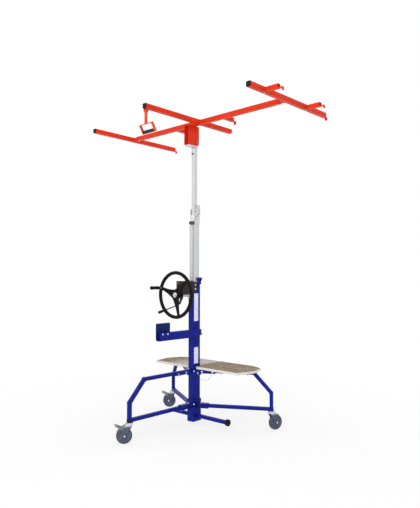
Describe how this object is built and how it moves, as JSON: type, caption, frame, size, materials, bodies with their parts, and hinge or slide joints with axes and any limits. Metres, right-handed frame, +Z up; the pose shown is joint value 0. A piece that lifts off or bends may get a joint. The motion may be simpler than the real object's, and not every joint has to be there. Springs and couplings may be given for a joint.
{
  "type": "drywall panel hoist",
  "caption": "Wheeled hoist with a telescopic mast, handwheel winch and tilting cradle that lifts and holds plasterboard sheets against ceilings and walls.",
  "frame": {"origin": "on the floor under the middle of the hoist's box", "axes": "+Z up the mast, +X along the cradle beam, -Y towards the operator at the handwheel"},
  "size_m": [2.022, 1.4074, 2.682],
  "materials": {
    "blue_paint": "gloss powder coat",
    "dark_blue_paint": "satin powder coat",
    "orange_paint": "gloss powder coat",
    "mast_aluminium": "satin anodised",
    "zinc_steel": "zinc plated",
    "cable_steel": "stranded",
    "black_paint": "satin",
    "black_plastic": "moulded",
    "wheel_plastic": "moulded",
    "guide_plastic": "sliding plastic",
    "caster_rubber": "grey rubber",
    "plywood": "bare plywood"
  },
  "bodies": {
    "frame": {"outer_column": "blue_paint", "column_foot": "blue_paint", "foot_bar": "blue_paint", "upper_hub": "blue_paint", "lower_hub": "blue_paint", "leg_front": "blue_paint", "leg_right": "blue_paint", "leg_left": "blue_paint", "frame_bolts": "zinc_steel", "lock_pins": "zinc_steel", "pin_lanyard": "cable_steel", "left_board": "plywood", "right_board": "plywood", "caster_plates": "zinc_steel", "winch_housing": "black_paint", "rest_arm": "blue_paint", "rest_plate": "dark_blue_paint", "rest_clamp": "black_paint", "cable_anchor": "blue_paint", "column_guide": "guide_plastic", "lift_cable": "cable_steel"},
    "handwheel": {"handwheel": "wheel_plastic", "winch_drum": "zinc_steel", "winch_shaft": "zinc_steel"},
    "crank_grip": {"crank_grip": "wheel_plastic"},
    "brake_lever": {"brake_lever": "black_paint", "lever_grip": "black_plastic"},
    "lift_sheave": {"lift_sheave": "guide_plastic"},
    "middle_mast": {"middle_mast": "mast_aluminium", "middle_guides": "guide_plastic", "pulley_head": "mast_aluminium", "mast_clip": "black_plastic", "mast_cable": "cable_steel"},
    "mast_pulley": {"mast_pulley": "guide_plastic"},
    "inner_mast": {"inner_mast": "mast_aluminium", "inner_guide": "guide_plastic", "mast_head": "zinc_steel"},
    "cradle": {"yoke": "orange_paint", "tilt_bolt": "zinc_steel", "main_beam": "orange_paint", "cross_arm": "orange_paint", "beam_hooks": "orange_paint", "arm_cap": "black_plastic"},
    "left_crossbar": {"crossbar_left": "orange_paint", "crossbar_cap_left": "black_plastic", "crossbar_hooks_left": "orange_paint"},
    "right_crossbar": {"crossbar_right": "orange_paint", "crossbar_cap_right": "black_plastic", "crossbar_hooks_right": "orange_paint"},
    "catch": {"catch_arm": "orange_paint"},
    "catch_roller": {"catch_roller": "black_paint"},
    "foot_roller": {"foot_roller": "black_plastic"},
    "caster_front": {"caster_fork_front": "zinc_steel"},
    "wheel_front": {"caster_wheel_front": "caster_rubber"},
    "pedal_front": {"brake_pedal_front": "zinc_steel"},
    "caster_right": {"caster_fork_right": "zinc_steel"},
    "wheel_right": {"caster_wheel_right": "caster_rubber"},
    "caster_left": {"caster_fork_left": "zinc_steel"},
    "wheel_left": {"caster_wheel_left": "caster_rubber"},
    "pedal_left": {"brake_pedal_left": "zinc_steel"}
  },
  "joints": [
    {"name": "mast_slide", "type": "slide", "parent": "frame", "child": "middle_mast", "axis": [0, 0, 1], "range_m": [-0.44, 0.44], "deforming": ["lift_cable", "mast_cable"]},
    {"name": "inner_slide", "type": "slide", "parent": "middle_mast", "child": "inner_mast", "axis": [0, 0, 1], "range_m": [-0.441, 0.441]},
    {"name": "cradle_tilt", "type": "hinge", "parent": "inner_mast", "child": "cradle", "pos_m": [-0.163, 0.13374, 2.5], "axis": [1, 0, 0], "range_deg": [-80, 0]},
    {"name": "left_extension", "type": "slide", "parent": "cradle", "child": "left_crossbar", "axis": [-1, 0, 0], "range_m": [-0.04, 0.25]},
    {"name": "right_extension", "type": "slide", "parent": "cradle", "child": "right_crossbar", "axis": [1, 0, 0], "range_m": [-0.04, 0.25]},
    {"name": "catch_swing", "type": "hinge", "parent": "cradle", "child": "catch", "pos_m": [-0.073, -0.51426, 2.626], "axis": [-1, 0, 0], "range_deg": [0, 100]},
    {"name": "catch_roller_spin", "type": "hinge", "parent": "catch", "child": "catch_roller", "pos_m": [-0.073, -0.47982, 2.46688], "axis": [1, 0, 0], "continuous": true},
    {"name": "handwheel_turn", "type": "hinge", "parent": "frame", "child": "handwheel", "pos_m": [-0.163, -0.09626, 1.142], "axis": [0, 1, 0], "range_deg": [-1261.5, 1261.5]},
    {"name": "crank_grip_spin", "type": "hinge", "parent": "handwheel", "child": "crank_grip", "pos_m": [-0.34465, -0.11626, 1.20102], "axis": [0, -1, 0], "continuous": true},
    {"name": "brake_lever_lift", "type": "hinge", "parent": "frame", "child": "brake_lever", "pos_m": [-0.133, -0.05626, 1.112], "axis": [0, 1, 0], "range_deg": [0, 15]},
    {"name": "lift_sheave_turn", "type": "hinge", "parent": "frame", "child": "lift_sheave", "pos_m": [-0.1425, 0.07874, 1.218], "axis": [1, 0, 0], "range_deg": [-1681.7, 1681.7]},
    {"name": "mast_pulley_turn", "type": "hinge", "parent": "middle_mast", "child": "mast_pulley", "pos_m": [-0.163, 0.17074, 1.888], "axis": [1, 0, 0], "range_deg": [-2802.1, 2802.1]},
    {"name": "foot_roller_spin", "type": "hinge", "parent": "frame", "child": "foot_roller", "pos_m": [0.226, 0.13374, 0.085], "axis": [1, 0, 0], "continuous": true},
    {"name": "swivel_front", "type": "hinge", "parent": "frame", "child": "caster_front", "pos_m": [-0.163, -0.59126, 0.161], "axis": [0, 0, 1], "continuous": true},
    {"name": "roll_front", "type": "hinge", "parent": "caster_front", "child": "wheel_front", "pos_m": [-0.1842, -0.62518, 0.0625], "axis": [0.848, -0.5299, 0], "continuous": true},
    {"name": "press_front", "type": "hinge", "parent": "caster_front", "child": "pedal_front", "pos_m": [-0.19268, -0.63875, 0.118], "axis": [0.848, -0.5299, 0], "range_deg": [0, 18]},
    {"name": "swivel_right", "type": "hinge", "parent": "frame", "child": "caster_right", "pos_m": [0.44062, 0.45424, 0.161], "axis": [0, 0, 1], "continuous": true},
    {"name": "roll_right", "type": "hinge", "parent": "caster_right", "child": "wheel_right", "pos_m": [0.45232, 0.49249, 0.0625], "axis": [-0.9563, 0.2924, 0], "continuous": true},
    {"name": "swivel_left", "type": "hinge", "parent": "frame", "child": "caster_left", "pos_m": [-0.76662, 0.45424, 0.161], "axis": [0, 0, 1], "continuous": true},
    {"name": "roll_left", "type": "hinge", "parent": "caster_left", "child": "wheel_left", "pos_m": [-0.80054, 0.43304, 0.0625], "axis": [0.5299, -0.848, 0], "continuous": true},
    {"name": "press_left", "type": "hinge", "parent": "caster_left", "child": "pedal_left", "pos_m": [-0.81411, 0.42456, 0.118], "axis": [0.5299, -0.848, 0], "range_deg": [0, 18]}
  ],
  "couplings": [
    {"joint": "inner_slide", "follows": "mast_slide", "ratio": 1},
    {"joint": "handwheel_turn", "follows": "mast_slide", "rad_per_m": 50},
    {"joint": "lift_sheave_turn", "follows": "mast_slide", "rad_per_m": 66.667},
    {"joint": "mast_pulley_turn", "follows": "mast_slide", "rad_per_m": -111.11}
  ]
}
